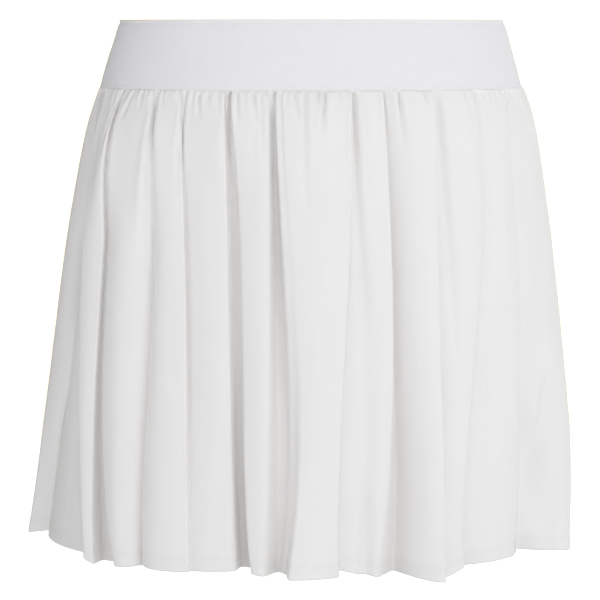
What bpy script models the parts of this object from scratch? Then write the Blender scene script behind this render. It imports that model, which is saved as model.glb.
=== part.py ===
"""Tennis skort: a pleated skirt gathered into a wide elastic waistband, over plain inner shorts.

Frame: metres, +Z up, the front faces -Y, the origin is the centre of the waistband ring at the
middle of its height. The garment hangs in the form that it takes when worn. Sizes are written in
millimetres, and angles run round the body from the centre front: 0 is the front, +90 is +X, 180 is
the back and -90 is -X.
"""
import math
from collections import namedtuple

import bmesh
import bpy
from mathutils import Vector

MM = 0.001

# Cloth thicknesses, the clearance between two layers, and the distance between the edges of two
# panels on their middle surface, which leaves 0.3 mm between the corners of their walls.
BAND_THICKNESS = 2.0
SKIRT_THICKNESS = 1.0
SHORTS_THICKNESS = 1.0
LAYER_GAP = 0.3
SEAM_GAP = 0.5

# Where a wall's thickness goes from the surface that its sizes give.
INWARD, CENTRED = -1.0, 0.0

# The skirt's and the shorts' top edges are tucked up behind the waistband: the heights of that lap,
# how much of the folds is left in it, and the room for them between the layers.
LAP_HEIGHTS = (-16.0, -23.5)
LAP_SHARE = 0.03
SKIRT_LAP_ROOM = 0.5
SHORTS_LAP_ROOM = 0.7

# The waistband: its back lies a little lower than its front.
BACK_DIP = 5.0
BAND_COLUMNS = 64

# The skirt: the hem's height, the four heights at which each fold's angle is given, the angle
# between the edge and crease of a fold that is still shut in the waist seam, and the largest share
# of a stretch of cloth that a rounded corner takes.
HEM_Z = -339.0
FOLD_ANCHORS = (-30.0, -110.0, -225.0, HEM_Z)
GATHER_TURN = 0.6
CORNER_SHARE = 0.45

# The inner shorts: the distance of each leg's inner side from the middle plane.
SHORTS_COLUMNS = 28
LEG_INSIDE = 6.0

# Colours and roughnesses of the three cloths.
ELASTIC_COLOUR, ELASTIC_ROUGHNESS = (0.76, 0.76, 0.79), 0.80
SKIRT_COLOUR, SKIRT_ROUGHNESS = (0.82, 0.81, 0.80), 0.85
KNIT_COLOUR, KNIT_ROUGHNESS = (0.80, 0.80, 0.80), 0.80

# One row for each height (mm): the half width, the depth to the front and to the back.
Ring = namedtuple("Ring", "z half_width front_depth back_depth")

BAND_RINGS = (
    Ring(+23.5, 132.5, 96.0, 98.0),
    Ring(+8, 136.8, 99.0, 101.5),
    Ring(-8, 141.3, 102.5, 105.5),
    Ring(-23.5, 146.0, 106.0, 110.0),
)

# The skirt's middle surface. lean shifts the ring sideways, and the two shares say how much of a
# fold's size at mid height and at the hem is open at that height.
SkirtRing = namedtuple("SkirtRing", "z half_width front_depth back_depth lean mid_share hem_share")

SKIRT_RINGS = (
    SkirtRing(-31, 147.0, 107.0, 111.5, 0, 0.12, 0.0),
    SkirtRing(-50, 154.5, 113.0, 120.0, 0, 0.35, 0.0),
    SkirtRing(-90, 162.0, 120.0, 129.5, -1, 0.60, 0.0),
    SkirtRing(-145, 169.5, 128.5, 138.5, -2, 0.85, 0.0),
    SkirtRing(-210, 176.5, 136.0, 145.0, -2, 0.87, 0.13),
    SkirtRing(-275, 182.0, 142.5, 149.0, -4, 0.48, 0.52),
    SkirtRing(HEM_Z, 186.0, 148.0, 152.0, -8, 0.0, 1.0),
)

# One row for each fold of the skirt. proud is the side on which the cloth lies outermost, top to
# hem are the edge's angles at the four anchor heights, turn is how far round from the edge the
# crease behind it lies, rise and sink are how far the edge and the crease stand out from the ring
# (mm), soft is how far each side of the edge is rounded (mm), and drop lowers the hem (mm).
LEFT, RIGHT = 1, -1
Fold = namedtuple("Fold", "name proud top upper lower hem turn_mid turn_hem"
                          " rise_mid rise_hem sink_mid sink_hem soft drop")

FRONT_FOLDS = (
    Fold("side_left", LEFT, -90, -86, -86, -85, 14, 8, 4, 8, -4, -5, 9, 0),
    Fold("blade_foot", RIGHT, -70, -63, -59, -50, -3, -4, 1, 6, -4, -7, 4, 0),
    Fold("blade", LEFT, -65, -58, -52.5, -47, 0.7, 0.7, 5, 9, -3, -1, 2, 1),
    Fold("left_panel", RIGHT, -60, -53.5, -49, -40.5, -1.3, -4.5, 4, 12, -3, -5, 3, 0),
    Fold("soft_dip", LEFT, -45.5, -39, -37, -36, 2, 1.5, 3, 6, -2, 3, 6, 0),
    Fold("left_knife", LEFT, -35.5, -29.5, -26, -22.3, 1, 1, 6, 13, 0, 8, 2, 0),
    Fold("deep_left", LEFT, -22, -19.5, -16.8, -14, 0.6, 1, 3, -8, -5, -10, 2, 0),
    Fold("deep_right", RIGHT, -20, -17.5, -14.3, -10.5, -0.9, -1.3, 2, -1, -6, -14, 2, 0),
    Fold("tip_left", LEFT, -11, -9.3, -8.2, -8.1, 0.7, 0.8, 3, 9, -3, 2, 2, 1),
    Fold("tip_right", RIGHT, -8.6, -6.3, -4.5, -4.6, -1.2, -1.4, 4, 6, -3, 3, 2, 1),
    Fold("centre_tip", LEFT, -1.5, -1, -1.3, -2.4, 0.8, 0.8, 5, 14, 2, 9, 2, 3),
    Fold("centre_step", LEFT, 10.7, 9, 7.5, 7.3, 0.8, 0.8, 4, 4, -1, -11, 2, 1),
    Fold("faint_knife", LEFT, 19, 18.7, 17.6, 17, 1.2, 1.5, 5, 9, 1, 6, 3, 0),
    Fold("right_knife", LEFT, 34.7, 31, 28, 26.5, 1.2, 1.5, 7, 21, 0, 9, 2, 4),
    Fold("second_knife", LEFT, 44.7, 42, 37.7, 34.3, 1.2, 2, 4, 5, 0, -5, 2, 1),
    Fold("outer_knife", LEFT, 66.4, 59.5, 56.2, 52, 2, 7, 4, 0, -2, -13, 3, 0),
    Fold("side_right", LEFT, 88, 80, 73.5, 67.5, 11, 12, 8, 15, -5, -8, 6, 3),
)
BACK_FOLDS = (
    Fold("back_1", LEFT, 101, 100, 101, 103, 3, 4, 4, 8, -3, -6, 5, 0),
    Fold("back_2", LEFT, 113, 112, 113, 116, 1, 1.5, 5, 12, -1, -4, 2, 1),
    Fold("back_3", RIGHT, 128, 127, 127, 125, -2, -2, 4, 9, -3, -7, 3, 0),
    Fold("back_4", LEFT, 138, 138, 139, 140, 1, 1, 5, 13, 0, 2, 2, 1),
    Fold("back_5", LEFT, 150, 149, 148, 149, 1, 2, 4, 8, -3, -9, 2, 0),
    Fold("back_6", RIGHT, 160, 161, 162, 160, -2, -3, 5, 11, -4, -10, 3, 1),
    Fold("back_7", LEFT, 171, 171, 172, 174, 0.8, 1, 4, 12, -2, -3, 2, 2),
    Fold("back_8", LEFT, 182, 182, 181, 180, 1, 2, 5, 9, -2, -8, 4, 0),
    Fold("back_9", RIGHT, 193, 192, 193, 195, -1, -2, 4, 10, -3, -6, 2, 1),
    Fold("back_10", LEFT, 204, 204, 204, 203, 1, 1, 6, 14, -1, 0, 2, 3),
    Fold("back_11", RIGHT, 216, 215, 214, 215, -2, -3, 4, 8, -4, -9, 4, 0),
    Fold("back_12", LEFT, 227, 227, 228, 230, 1, 2, 5, 12, -1, -4, 2, 1),
    Fold("back_13", RIGHT, 241, 242, 243, 241, -2, -3, 4, 10, -3, -7, 3, 0),
    Fold("back_14", LEFT, 253, 254, 255, 256, 2, 3, 4, 9, -3, -6, 5, 1),
)

# The inner shorts' outer surface. part is 0 where both legs are one hollow and 1 where each leg
# is a ring of its own.
ShortsRing = namedtuple("ShortsRing", "z half_width front_depth back_depth part")

SHORTS_RINGS = (
    ShortsRing(-30, 143.0, 102.5, 107.0, 0),
    ShortsRing(-60, 150.0, 107.0, 114.0, 0),
    ShortsRing(-110, 156.5, 111.0, 122.0, 0),
    ShortsRing(-170, 159.0, 113.0, 125.0, 0),
    ShortsRing(-205, 158.5, 111.0, 121.0, 0.12),
    ShortsRing(-232, 157.5, 106.0, 113.0, 0.6),
    ShortsRing(-250, 156.5, 101.0, 106.0, 1),
    ShortsRing(-295, 154.0, 95.0, 98.0, 1),
)


def clear_scene():
    """Remove every object of the open scene."""
    for obj in list(bpy.data.objects):
        bpy.data.objects.remove(obj, do_unlink=True)


def cloth_material(name, colour, roughness):
    """Return a plain Principled material for one cloth."""
    material = bpy.data.materials.new(name)
    material.use_nodes = True
    shader = material.node_tree.nodes["Principled BSDF"]
    shader.inputs["Base Color"].default_value = (*colour, 1.0)
    shader.inputs["Roughness"].default_value = roughness
    shader.inputs["Metallic"].default_value = 0.0
    material.diffuse_color = (*colour, 1.0)
    return material


def ring_depth(ring, angle):
    """Return the ring's depth (mm) on the side where the angle lies."""
    return ring.front_depth if math.cos(angle) > 0.0 else ring.back_depth


def ring_place(ring, degrees, out=0.0, lean=0.0):
    """Return the point (mm) at an angle of the ring, moved out along the ring's normal."""
    angle = math.radians(degrees)
    width, depth = ring.half_width, ring_depth(ring, angle)
    normal = Vector((math.sin(angle) / width, -math.cos(angle) / depth)).normalized()
    return Vector((lean + width * math.sin(angle), -depth * math.cos(angle))) + out * normal


def band_size(z, inset):
    """Return the half width and depths (mm) at a height, measured inside the band's outer face."""
    upper, lower = BAND_RINGS[-2:]
    share = (upper.z - z) / (upper.z - lower.z)
    return [a + share * (b - a) - inset for a, b in zip(upper[1:], lower[1:])]


def lap_insets():
    """Return how far (mm) inside the band the skirt's middle and the shorts' outer face lie."""
    skirt = BAND_THICKNESS + LAYER_GAP + SKIRT_THICKNESS / 2.0 + SKIRT_LAP_ROOM
    shorts = skirt + SKIRT_THICKNESS / 2.0 + LAYER_GAP + SHORTS_LAP_ROOM
    return skirt, shorts


def waist_dip(degrees, z):
    """Return how far (mm) the cloth lies lower at an angle, fading out from waist to hem."""
    share = min(1.0, (z - HEM_Z) / (LAP_HEIGHTS[0] - HEM_Z))
    return share * BACK_DIP * (1.0 - math.cos(math.radians(degrees))) / 2.0


def fold_angle(fold, z):
    """Return the edge's angle at a height, on the cubic through its four anchor angles."""
    total = 0.0
    for place, value in zip(FOLD_ANCHORS, (fold.top, fold.upper, fold.lower, fold.hem)):
        weight = 1.0
        for other in FOLD_ANCHORS:
            if other != place:
                weight *= (z - other) / (place - other)
        total += weight * value
    return total


# A place on the skirt's section: its angle, how far out it lies, its hem drop and its rounding.
Station = namedtuple("Station", "degrees out drop soft is_edge")


def fold_stations(fold, ring):
    """Return the fold's edge and crease at one height, in their order round the body."""
    degrees = fold_angle(fold, ring.z)
    rise = ring.mid_share * fold.rise_mid + ring.hem_share * fold.rise_hem
    sink = ring.mid_share * fold.sink_mid + ring.hem_share * fold.sink_hem
    shut_share = 1.0 - ring.mid_share - ring.hem_share
    turn = (ring.mid_share * fold.turn_mid + ring.hem_share * fold.turn_hem
            + shut_share * GATHER_TURN * fold.proud)
    edge = Station(degrees, rise, fold.drop, fold.soft, True)
    crease = Station(degrees + turn, sink, fold.drop, fold.soft, False)
    return (edge, crease) if fold.proud == LEFT else (crease, edge)


def between(first, second):
    """Return the station half way along the cloth between two stations."""
    return Station(*((a + b) / 2.0 for a, b in zip(first[:3], second[:3])), 0.0, False)


def skirt_point(ring, station):
    """Return a station's point (mm) in space."""
    place = ring_place(ring, station.degrees, station.out, ring.lean)
    lowered = station.drop * ring.hem_share + waist_dip(station.degrees, ring.z)
    return Vector((place.x, place.y, ring.z - lowered))


def rounded(before, corner, after, soft, is_edge):
    """Return the points that round a corner: three on an edge, two in a crease."""
    back, on = before - corner, after - corner
    start = corner + back.normalized() * min(soft, CORNER_SHARE * back.length)
    end = corner + on.normalized() * min(soft, CORNER_SHARE * on.length)
    if not is_edge:
        return [start, end]
    return [start, (start + 2.0 * corner + end) / 4.0, end]


def skirt_section(ring, folds, fold_before, fold_after):
    """Return one panel's points at one height, from side seam to side seam."""
    stations = []
    for fold in (fold_before, *folds, fold_after):
        pair = fold_stations(fold, ring)
        if stations:
            stations.append(between(stations[-1], pair[0]))
        stations.extend(pair)
    stations = stations[2:-2]
    points = [skirt_point(ring, station) for station in stations]
    section = [points[0]]
    for index in range(1, len(points) - 1):
        station = stations[index]
        if station.soft:
            section += rounded(points[index - 1], points[index], points[index + 1],
                               station.soft, station.is_edge)
        else:
            section.append(points[index])
    section.append(points[-1])
    section[0] += (section[1] - section[0]).normalized() * SEAM_GAP / 2.0
    section[-1] += (section[-2] - section[-1]).normalized() * SEAM_GAP / 2.0
    return section


def lofted(sections, closed):
    """Return an open surface through sections of equal length, which may each be a closed loop."""
    shell = bmesh.new()
    rows = [[shell.verts.new(point * MM) for point in section] for section in sections]
    columns = len(rows[0]) if closed else len(rows[0]) - 1
    for upper, lower in zip(rows, rows[1:]):
        for column in range(columns):
            after = (column + 1) % len(upper)
            shell.faces.new((upper[column], lower[column], lower[after], upper[after]))
    return shell


def cloth_piece(name, shell, thickness, offset, material, collection):
    """Turn an open surface into a named piece with a wall of its own thickness."""
    mesh = bpy.data.meshes.new(name)
    shell.to_mesh(mesh)
    shell.free()
    mesh.materials.append(material)
    mesh.shade_smooth()
    piece = bpy.data.objects.new(name, mesh)
    collection.objects.link(piece)
    wall = piece.modifiers.new("cloth_thickness", "SOLIDIFY")
    wall.thickness = thickness * MM
    wall.offset = offset


def make_waistband(material, collection):
    """Make the elastic waistband: one ring of cloth, its outer face on the band's rings."""
    sections = []
    for ring in BAND_RINGS:
        section = []
        for column in range(BAND_COLUMNS):
            degrees = 360.0 * column / BAND_COLUMNS
            place = ring_place(ring, degrees)
            section.append(Vector((place.x, place.y, ring.z - waist_dip(degrees, ring.z))))
        sections.append(section)
    cloth_piece("waistband", lofted(sections, True), BAND_THICKNESS, INWARD, material, collection)


def turned_round(fold, turns):
    """Return a fold with its angles moved by whole turns round the body."""
    full = 360.0 * turns
    return fold._replace(top=fold.top + full, upper=fold.upper + full,
                         lower=fold.lower + full, hem=fold.hem + full)


def make_skirt(material, collection):
    """Make the skirt's front and back panels, which meet at the side seams."""
    inset = lap_insets()[0]
    rings = [SkirtRing(z, *band_size(z, inset), 0.0, LAP_SHARE, 0.0) for z in LAP_HEIGHTS]
    rings += SKIRT_RINGS
    panels = (
        ("skirt_front", FRONT_FOLDS, turned_round(BACK_FOLDS[-1], -1), BACK_FOLDS[0]),
        ("skirt_back", BACK_FOLDS, FRONT_FOLDS[-1], turned_round(FRONT_FOLDS[0], 1)),
    )
    for name, folds, fold_before, fold_after in panels:
        sections = [skirt_section(ring, folds, fold_before, fold_after) for ring in rings]
        cloth_piece(name, lofted(sections, False), SKIRT_THICKNESS, CENTRED, material, collection)


def shorts_point(ring, degrees, side):
    """Return a point (mm) of the shorts, with the outer side of the leg kept where it is."""
    place = ring_place(ring, degrees)
    leg_centre = (ring.half_width + LEG_INSIDE) / 2.0
    leg_half_width = (ring.half_width - LEG_INSIDE) / 2.0
    across = place.x / ring.half_width
    centre = ring.part * leg_centre * side
    half_width = ring.half_width + ring.part * (leg_half_width - ring.half_width)
    return Vector((centre + across * half_width, place.y, ring.z - waist_dip(degrees, ring.z)))


def make_shorts(name, side, material, collection):
    """Make one half of the shorts: a leg that widens into its half of the seat."""
    inset = lap_insets()[1]
    rings = [ShortsRing(z, *band_size(z, inset), 0.0) for z in LAP_HEIGHTS]
    rings += SHORTS_RINGS
    angles = [360.0 * column / SHORTS_COLUMNS for column in range(SHORTS_COLUMNS)]
    shell = lofted([[shorts_point(ring, degrees, side) for degrees in angles] for ring in rings], True)
    everything = shell.verts[:] + shell.edges[:] + shell.faces[:]
    bmesh.ops.bisect_plane(shell, geom=everything, plane_co=(side * SEAM_GAP * MM / 2.0, 0.0, 0.0),
                           plane_no=(side, 0.0, 0.0), clear_inner=True)
    cloth_piece(name, shell, SHORTS_THICKNESS, INWARD, material, collection)


def main():
    """Build the skort."""
    clear_scene()
    collection = bpy.data.collections.new("tennis_skort")
    bpy.context.scene.collection.children.link(collection)
    elastic = cloth_material("elastic_waistband", ELASTIC_COLOUR, ELASTIC_ROUGHNESS)
    woven = cloth_material("skirt_cloth", SKIRT_COLOUR, SKIRT_ROUGHNESS)
    knit = cloth_material("shorts_knit", KNIT_COLOUR, KNIT_ROUGHNESS)
    make_waistband(elastic, collection)
    make_skirt(woven, collection)
    make_shorts("shorts_left", -1, knit, collection)
    make_shorts("shorts_right", 1, knit, collection)


if __name__ == "__main__":
    main()
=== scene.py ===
"""Tennis skort, dressed: a pleated skirt gathered into a wide elastic waistband, over inner shorts.

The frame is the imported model's: +Z up, the front faces -Y, and the origin is the centre of the
waistband ring. Sizes in the tables are millimetres. Angles run round the body from the centre
front in degrees: 0 is the front, +90 is +X, 180 is the back and -90 is -X.
"""

import logging
import math
from collections.abc import Callable, Sequence
from dataclasses import astuple, dataclass, replace
from enum import Enum
from functools import partial

import bmesh
import bpy
import numpy as np
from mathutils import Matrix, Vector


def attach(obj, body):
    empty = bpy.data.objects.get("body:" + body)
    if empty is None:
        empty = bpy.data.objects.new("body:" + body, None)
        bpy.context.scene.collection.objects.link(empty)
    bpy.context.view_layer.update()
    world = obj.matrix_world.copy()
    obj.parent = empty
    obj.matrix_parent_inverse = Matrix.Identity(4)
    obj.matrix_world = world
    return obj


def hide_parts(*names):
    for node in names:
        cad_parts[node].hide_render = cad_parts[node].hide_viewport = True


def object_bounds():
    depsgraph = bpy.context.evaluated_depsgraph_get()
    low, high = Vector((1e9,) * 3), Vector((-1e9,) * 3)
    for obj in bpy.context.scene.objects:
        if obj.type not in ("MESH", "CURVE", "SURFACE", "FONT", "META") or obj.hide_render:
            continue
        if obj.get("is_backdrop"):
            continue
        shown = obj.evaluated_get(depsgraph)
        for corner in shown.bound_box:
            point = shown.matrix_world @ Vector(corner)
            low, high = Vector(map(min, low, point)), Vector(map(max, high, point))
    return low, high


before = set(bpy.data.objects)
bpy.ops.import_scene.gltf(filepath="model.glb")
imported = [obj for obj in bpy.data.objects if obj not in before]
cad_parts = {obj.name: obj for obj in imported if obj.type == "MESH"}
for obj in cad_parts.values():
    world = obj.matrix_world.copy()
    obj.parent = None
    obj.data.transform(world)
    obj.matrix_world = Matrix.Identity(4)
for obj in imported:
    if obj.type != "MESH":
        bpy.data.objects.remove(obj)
CAD_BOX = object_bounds()

LOG = logging.getLogger("tennis_skort")
MM = 0.001
BODY = "root"

# The lowest point of the skirt's hem, how much lower the waist lies at the back, and the top
# edge of the cloth that is tucked up behind the waistband (mm).
HEM_Z = -339.0
BACK_DIP = 5.0
LAP_TOP = -16.0


# ---------------------------------------------------------------- sizes read by height


@dataclass(frozen=True)
class Ring:
    """One oval ring round the body, with its sizes in mm.

    mid_share and hem_share say how much of the open cloth's shape and of the hem's shape shows
    at this height. On the shorts hem_share is how far the two legs have parted.
    """

    z: float
    half_width: float
    front_depth: float
    back_depth: float
    lean: float = 0.0
    mid_share: float = 0.0
    hem_share: float = 0.0

    def place(self, degrees: np.ndarray, out: np.ndarray) -> tuple[np.ndarray, np.ndarray]:
        """Return the points at some angles of the ring and the ring's normals there.

        Args:
            degrees: the angles round the body.
            out: how far (mm) each point stands out from the ring.

        Returns:
            The points and the normals, as rows of x and y.
        """
        angle = np.radians(degrees)
        depth = np.where(np.cos(angle) > 0.0, self.front_depth, self.back_depth)
        normal = np.stack([np.sin(angle) / self.half_width, -np.cos(angle) / depth], axis=-1)
        normal /= np.linalg.norm(normal, axis=-1, keepdims=True)
        on_ring = np.stack([self.lean + self.half_width * np.sin(angle),
                            -depth * np.cos(angle)], axis=-1)
        return on_ring + np.asarray(out)[..., None] * normal, normal

    def row(self, degrees: np.ndarray, out: np.ndarray) -> np.ndarray:
        """Return points (x, y, z) that stand out (mm) from the ring, which dips at the back."""
        return np.column_stack([self.place(degrees, out)[0], self.z - waist_dip(degrees, self.z)])


class RingTable:
    """Rings by falling height, read smoothly at any height between them."""

    def __init__(self, rows: Sequence[Ring]) -> None:
        """Keep the rings' sizes and work out how fast each changes with height.

        Args:
            rows: the rings, the highest first.
        """
        self.values = np.array([astuple(row) for row in rows])
        slopes = np.diff(self.values, axis=0) / np.diff(self.values[:, 0])[:, None]
        before, after = slopes[:-1], slopes[1:]
        same_way = before * after > 0.0
        total = np.where(same_way, before + after, 1.0)
        inner = np.where(same_way, 2.0 * before * after / total, 0.0)
        self.tangents = np.vstack([slopes[:1], inner, slopes[-1:]])

    def at(self, z: float) -> Ring:
        """Return the ring at a height, on a smooth curve that never overshoots.

        Args:
            z: the height (mm), held to the table's own heights.

        Returns:
            The ring there.
        """
        heights = self.values[:, 0]
        z = min(max(z, heights[-1]), heights[0])
        index = int(np.searchsorted(-heights, -z, side="right")) - 1
        index = min(max(index, 0), len(heights) - 2)
        span = heights[index + 1] - heights[index]
        t = (z - heights[index]) / span
        value = (self.values[index] * (2 * t**3 - 3 * t**2 + 1)
                 + self.tangents[index] * span * (t**3 - 2 * t**2 + t)
                 + self.values[index + 1] * (3 * t**2 - 2 * t**3)
                 + self.tangents[index + 1] * span * (t**3 - t**2))
        value[0] = z
        return Ring(*value)


def waist_dip(degrees: np.ndarray, z: float) -> np.ndarray:
    """Return how far (mm) the cloth lies lower at an angle, fading out from waist to hem."""
    share = min(1.0, (z - HEM_Z) / (LAP_TOP - HEM_Z))
    return share * BACK_DIP * (1.0 - np.cos(np.radians(degrees))) / 2.0


def all_round(columns: int) -> np.ndarray:
    """Return evenly spaced angles all round the body."""
    return np.linspace(0.0, 360.0, columns, endpoint=False)


# ---------------------------------------------------------------- soft creases


@dataclass(frozen=True)
class Crease:
    """One soft trough (depth below 0) or ridge (above 0) pressed into the cloth.

    It runs from its head to its foot. A gather starts at full depth in the waist seam and runs
    out downwards; any other crease fades in and out.
    """

    head_angle: float
    head_z: float
    foot_angle: float
    foot_z: float
    depth: float
    width: float
    is_gather: bool = False


# How wide one degree round the body is (mm), how much wider a crease is at its foot than at its
# head, and how steeply it fades along its length.
MM_PER_DEGREE = 2.6
FOOT_WIDENING = 0.7
GATHER_FADE = 1.7
CREASE_FADE = 1.2
# A gather lifts the cloth on both its sides: by what share of its depth, over how many widths.
FLANK_LIFT = 0.35
FLANK_WIDTHS = 2.6


def gathers(head_z: float, rows: Sequence[tuple]) -> list[Crease]:
    """Return gathers that start at one height: head angle, foot angle, foot z, depth, width."""
    return [Crease(head, head_z, foot, foot_z, depth, width, True)
            for head, foot, foot_z, depth, width in rows]


def soft_creases(rows: Sequence[tuple]) -> list[Crease]:
    """Return soft creases: head angle and z, foot angle and z, depth, width."""
    return [Crease(*row) for row in rows]


def relief(creases: Sequence[Crease], degrees: np.ndarray, heights: np.ndarray) -> np.ndarray:
    """Return how far (mm) the creases move each point of the cloth outwards.

    Args:
        creases: the creases that cross the cloth.
        degrees: each point's angle round the body.
        heights: each point's height (mm).

    Returns:
        One distance for each point, above 0 outwards.
    """
    moved = np.zeros_like(degrees)
    for crease in creases:
        along = (crease.head_z - heights) / (crease.head_z - crease.foot_z)
        inside = np.clip(along, 0.0, 1.0)
        middle = crease.head_angle + (crease.foot_angle - crease.head_angle) * inside
        across = (degrees - middle) * MM_PER_DEGREE
        across = across / (crease.width * (1.0 + FOOT_WIDENING * inside))
        profile = np.exp(-(across**2))
        if crease.is_gather:
            fade = 1.0 - inside**GATHER_FADE
            profile = profile - FLANK_LIFT * np.exp(-((across / FLANK_WIDTHS) ** 2))
        else:
            fade = np.sin(np.pi * inside) ** CREASE_FADE
        moved += crease.depth * fade * profile
    return moved


# ---------------------------------------------------------------- cloth grids


def add_object(name: str, data: bpy.types.ID) -> bpy.types.Object:
    """Add an object to the scene.

    Args:
        name: the object's name.
        data: the mesh, light or camera that it holds.

    Returns:
        The object.
    """
    made = bpy.data.objects.new(name, data)
    bpy.context.scene.collection.objects.link(made)
    return made


class ClothGrid:
    """A surface of rows and columns of points (mm), which becomes one piece of cloth."""

    def __init__(self, points: np.ndarray, closed: bool) -> None:
        """Keep the points, as rows x columns x 3, and whether each row is a closed ring."""
        self.points = points
        self.closed = closed

    def normals(self) -> np.ndarray:
        """Return the outward normal at each point."""
        if self.closed:
            across = np.roll(self.points, -1, axis=1) - np.roll(self.points, 1, axis=1)
        else:
            across = np.gradient(self.points, axis=1)
        normal = np.cross(np.gradient(self.points, axis=0), across)
        return normal / np.maximum(np.linalg.norm(normal, axis=-1, keepdims=True), 1e-9)

    def area(self) -> float:
        """Return the area of the open surface in square metres."""
        points = self.points
        first = np.cross(points[1:, :-1] - points[:-1, :-1], points[:-1, 1:] - points[:-1, :-1])
        second = np.cross(points[1:, 1:] - points[1:, :-1], points[:-1, 1:] - points[1:, 1:])
        area = np.linalg.norm(first, axis=-1).sum() + np.linalg.norm(second, axis=-1).sum()
        return float(area) / 2.0 * MM * MM

    def sheet_object(self, name: str, finish: bpy.types.Material) -> bpy.types.Object:
        """Return the surface as an object with a UV map in metres of cloth.

        Args:
            name: the piece's name.
            finish: its material.

        Returns:
            The object, linked to the scene.
        """
        rows, columns = self.points.shape[:2]
        faces = []
        for row in range(rows - 1):
            for column in range(columns if self.closed else columns - 1):
                after = (column + 1) % columns
                faces.append((row * columns + column, (row + 1) * columns + column,
                              (row + 1) * columns + after, row * columns + after))
        mesh = bpy.data.meshes.new(name)
        mesh.from_pydata((self.points.reshape(-1, 3) * MM).tolist(), [], faces)
        self._unroll(mesh, faces, columns)
        mesh.materials.append(finish)
        mesh.shade_smooth()
        return add_object(name, mesh)

    def _unroll(self, mesh: bpy.types.Mesh, faces: list, columns: int) -> None:
        """Lay the cloth out flat on a UV map, in metres across and down.

        Args:
            mesh: the mesh that gets the map.
            faces: its faces, as vertex numbers.
            columns: how many points each row has.
        """
        closed_row = np.concatenate([self.points[-1], self.points[-1, :1]])
        steps = np.linalg.norm(np.diff(closed_row, axis=0), axis=1)
        across = np.concatenate([[0.0], np.cumsum(steps)]) * MM
        down_steps = np.linalg.norm(np.diff(self.points, axis=0), axis=-1).mean(axis=1)
        down = np.concatenate([[0.0], np.cumsum(down_steps)]) * MM
        places = []
        for face in faces:
            first = face[0] % columns
            for corner in face:
                row, column = divmod(corner, columns)
                places.extend((across[columns if column < first else column], -down[row]))
        mesh.uv_layers.new(name="cloth").data.foreach_set("uv", places)


def with_thickness(piece: bpy.types.Object, thickness: float, offset: float) -> None:
    """Give a sheet its thickness (mm) with a Solidify modifier, centred when offset is 0."""
    wall = piece.modifiers.new("cloth_thickness", "SOLIDIFY")
    wall.thickness, wall.offset = thickness * MM, offset


# ---------------------------------------------------------------- finishes


def linear(hex_colour: str) -> tuple[float, float, float, float]:
    """Return an sRGB hex colour as linear red, green, blue and alpha."""
    channels = [int(hex_colour[i:i + 2], 16) / 255.0 for i in (1, 3, 5)]
    return (*(c / 12.92 if c <= 0.04045 else ((c + 0.055) / 1.055) ** 2.4 for c in channels), 1.0)


def add_node(tree: bpy.types.NodeTree, kind: str, values: dict | None = None,
             links: dict | None = None, **settings: object) -> bpy.types.Node:
    """Add one node with its settings, input values and links.

    Args:
        tree: the node tree that it joins.
        kind: the node's Blender type.
        values: input values by socket name or number.
        links: output sockets of other nodes, by input socket name or number.
        **settings: the node's own properties.

    Returns:
        The new node.
    """
    made = tree.nodes.new(kind)
    for name, value in settings.items():
        setattr(made, name, value)
    for socket, value in (values or {}).items():
        made.inputs[socket].default_value = value
    for socket, source in (links or {}).items():
        tree.links.new(source, made.inputs[socket])
    return made


def new_material(name: str, values: dict) -> tuple[bpy.types.Material, bpy.types.Node]:
    """Return a new material and its shader.

    Args:
        name: the material's name.
        values: the shader's input values by socket name.

    Returns:
        The material and its Principled shader.
    """
    made = bpy.data.materials.new(name)
    made.use_nodes = True
    shader = made.node_tree.nodes["Principled BSDF"]
    for socket, value in values.items():
        shader.inputs[socket].default_value = value
    return made, shader


def wave_scale(pitch: float) -> float:
    """Return the Wave texture's scale for one band each pitch (mm)."""
    return 2.0 * math.pi / 20.0 / (pitch * MM)


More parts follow.
